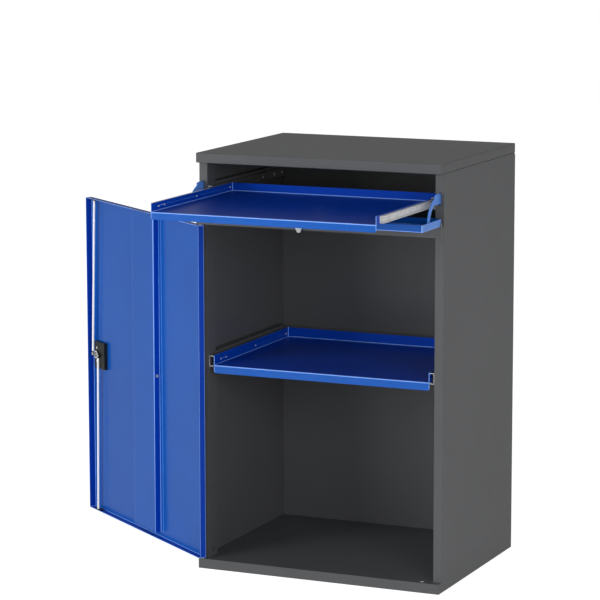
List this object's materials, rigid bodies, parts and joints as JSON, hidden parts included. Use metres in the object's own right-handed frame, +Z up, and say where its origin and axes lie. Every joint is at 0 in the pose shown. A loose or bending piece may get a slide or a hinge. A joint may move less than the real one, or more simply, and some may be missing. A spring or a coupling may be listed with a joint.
{
  "type": "computer workstation cabinet",
  "caption": "Sheet-steel cabinet with a fold-down flap, a keyboard tray and a printer shelf on ball slides, and a wing door with a rotary two-rod lock.",
  "frame": {"origin": "middle of the carcass's base, on the floor", "axes": "+X to the right seen from the front, +Y from the front to the back, +Z up"},
  "size_m": [1.1611, 0.836, 1.055],
  "materials": {
    "carcass_grey": "satin powder coat",
    "panel_blue": "satin powder coat",
    "stay_blue": "satin powder coat",
    "zinc": "bright zinc plated",
    "ball_steel": "polished",
    "black_plastic": "fine grained",
    "grey_nylon": "matt"
  },
  "bodies": {
    "cabinet": {"left_side": "carcass_grey", "right_side": "carcass_grey", "back_panel": "carcass_grey", "base_floor": "carcass_grey", "bay_floor": "carcass_grey", "top_cap": "carcass_grey", "cap_stiffener": "carcass_grey", "cable_outlets": "black_plastic", "tray_carrier_left": "carcass_grey", "tray_carrier_right": "carcass_grey", "shelf_carrier_left": "carcass_grey", "shelf_carrier_right": "carcass_grey", "tray_slide_outer_left": "zinc", "tray_slide_outer_right": "zinc", "shelf_slide_outer_left": "zinc", "shelf_slide_outer_right": "zinc", "slide_rivets": "zinc", "door_pivot_bushes": "grey_nylon"},
    "tray": {"keyboard_tray": "panel_blue", "tray_slide_inner_left": "zinc", "tray_slide_inner_right": "zinc", "tray_screws": "zinc"},
    "shelf": {"printer_shelf": "panel_blue", "shelf_slide_inner_left": "zinc", "shelf_slide_inner_right": "zinc", "shelf_screws": "zinc"},
    "tray_cage_left": {"tray_ball_cage_left": "ball_steel"},
    "tray_cage_right": {"tray_ball_cage_right": "ball_steel"},
    "shelf_cage_left": {"shelf_ball_cage_left": "ball_steel"},
    "shelf_cage_right": {"shelf_ball_cage_right": "ball_steel"},
    "flap": {"flap_panel": "panel_blue", "flap_stay_left": "stay_blue", "flap_stay_right": "stay_blue", "flap_pins": "zinc", "stay_rivets": "stay_blue", "flap_lock_body": "ball_steel", "flap_lock_nut": "zinc"},
    "flap_lock": {"flap_lock_plug": "zinc", "flap_lock_cam": "zinc", "cam_screw": "zinc"},
    "door": {"door_panel": "panel_blue", "door_stiffener": "panel_blue", "stiffener_plug": "grey_nylon", "door_pivot_pins": "zinc", "rod_guides": "black_plastic", "lock_case": "black_plastic", "lock_case_screws": "zinc", "handle_rosette": "black_plastic"},
    "lock_rotor": {"door_handle": "black_plastic", "lock_spindle": "zinc", "lock_crank": "black_plastic", "spindle_ring": "zinc", "rod_clips": "zinc"},
    "upper_rod": {"upper_lock_rod": "zinc", "upper_rod_joint": "black_plastic"},
    "lower_rod": {"lower_lock_rod": "zinc", "lower_rod_joint": "black_plastic"},
    "key_plug": {"handle_plug": "zinc"}
  },
  "joints": [
    {"name": "tray_slide", "type": "slide", "parent": "cabinet", "child": "tray", "axis": [0, -1, 0], "range_m": [-0.338, 0]},
    {"name": "tray_cage_left_slide", "type": "slide", "parent": "cabinet", "child": "tray_cage_left", "axis": [0, -1, 0], "range_m": [-0.169, 0]},
    {"name": "tray_cage_right_slide", "type": "slide", "parent": "cabinet", "child": "tray_cage_right", "axis": [0, -1, 0], "range_m": [-0.169, 0]},
    {"name": "shelf_slide", "type": "slide", "parent": "cabinet", "child": "shelf", "axis": [0, -1, 0], "range_m": [0, 0.338]},
    {"name": "shelf_cage_left_slide", "type": "slide", "parent": "cabinet", "child": "shelf_cage_left", "axis": [0, -1, 0], "range_m": [0, 0.169]},
    {"name": "shelf_cage_right_slide", "type": "slide", "parent": "cabinet", "child": "shelf_cage_right", "axis": [0, -1, 0], "range_m": [0, 0.169]},
    {"name": "flap_hinge", "type": "hinge", "parent": "cabinet", "child": "flap", "pos_m": [0, -0.256, 0.909], "axis": [1, 0, 0], "range_deg": [-10, 0]},
    {"name": "flap_lock_turn", "type": "hinge", "parent": "flap", "child": "flap_lock", "pos_m": [0, -0.3625, 0.905], "axis": [0, 0, -1], "range_deg": [0, 90]},
    {"name": "door_hinge", "type": "hinge", "parent": "cabinet", "child": "door", "pos_m": [-0.315, -0.255, 0], "axis": [0, 0, -1], "range_deg": [-216.5, 0]},
    {"name": "handle_turn", "type": "hinge", "parent": "door", "child": "lock_rotor", "pos_m": [-0.79273, 0.10472, 0.454], "axis": [-0.5948, -0.8039, 0], "range_deg": [-90, 0]},
    {"name": "upper_rod_pivot", "type": "hinge", "parent": "lock_rotor", "child": "upper_rod", "pos_m": [-0.814, 0.10205, 0.454], "axis": [-0.5948, -0.8039, 0], "range_deg": [0, 94]},
    {"name": "lower_rod_pivot", "type": "hinge", "parent": "lock_rotor", "child": "lower_rod", "pos_m": [-0.78908, 0.08361, 0.454], "axis": [-0.5948, -0.8039, 0], "range_deg": [0, 94]},
    {"name": "key_turn", "type": "hinge", "parent": "lock_rotor", "child": "key_plug", "pos_m": [-0.79273, 0.10472, 0.454], "axis": [-0.5948, -0.8039, 0], "range_deg": [0, 90]}
  ],
  "couplings": [
    {"joint": "tray_cage_left_slide", "follows": "tray_slide", "ratio": 0.5},
    {"joint": "tray_cage_right_slide", "follows": "tray_slide", "ratio": 0.5},
    {"joint": "shelf_cage_left_slide", "follows": "shelf_slide", "ratio": 0.5},
    {"joint": "shelf_cage_right_slide", "follows": "shelf_slide", "ratio": 0.5},
    {"joint": "upper_rod_pivot", "follows": "handle_turn", "ratio": -1.0235},
    {"joint": "lower_rod_pivot", "follows": "handle_turn", "ratio": -1.0231}
  ]
}
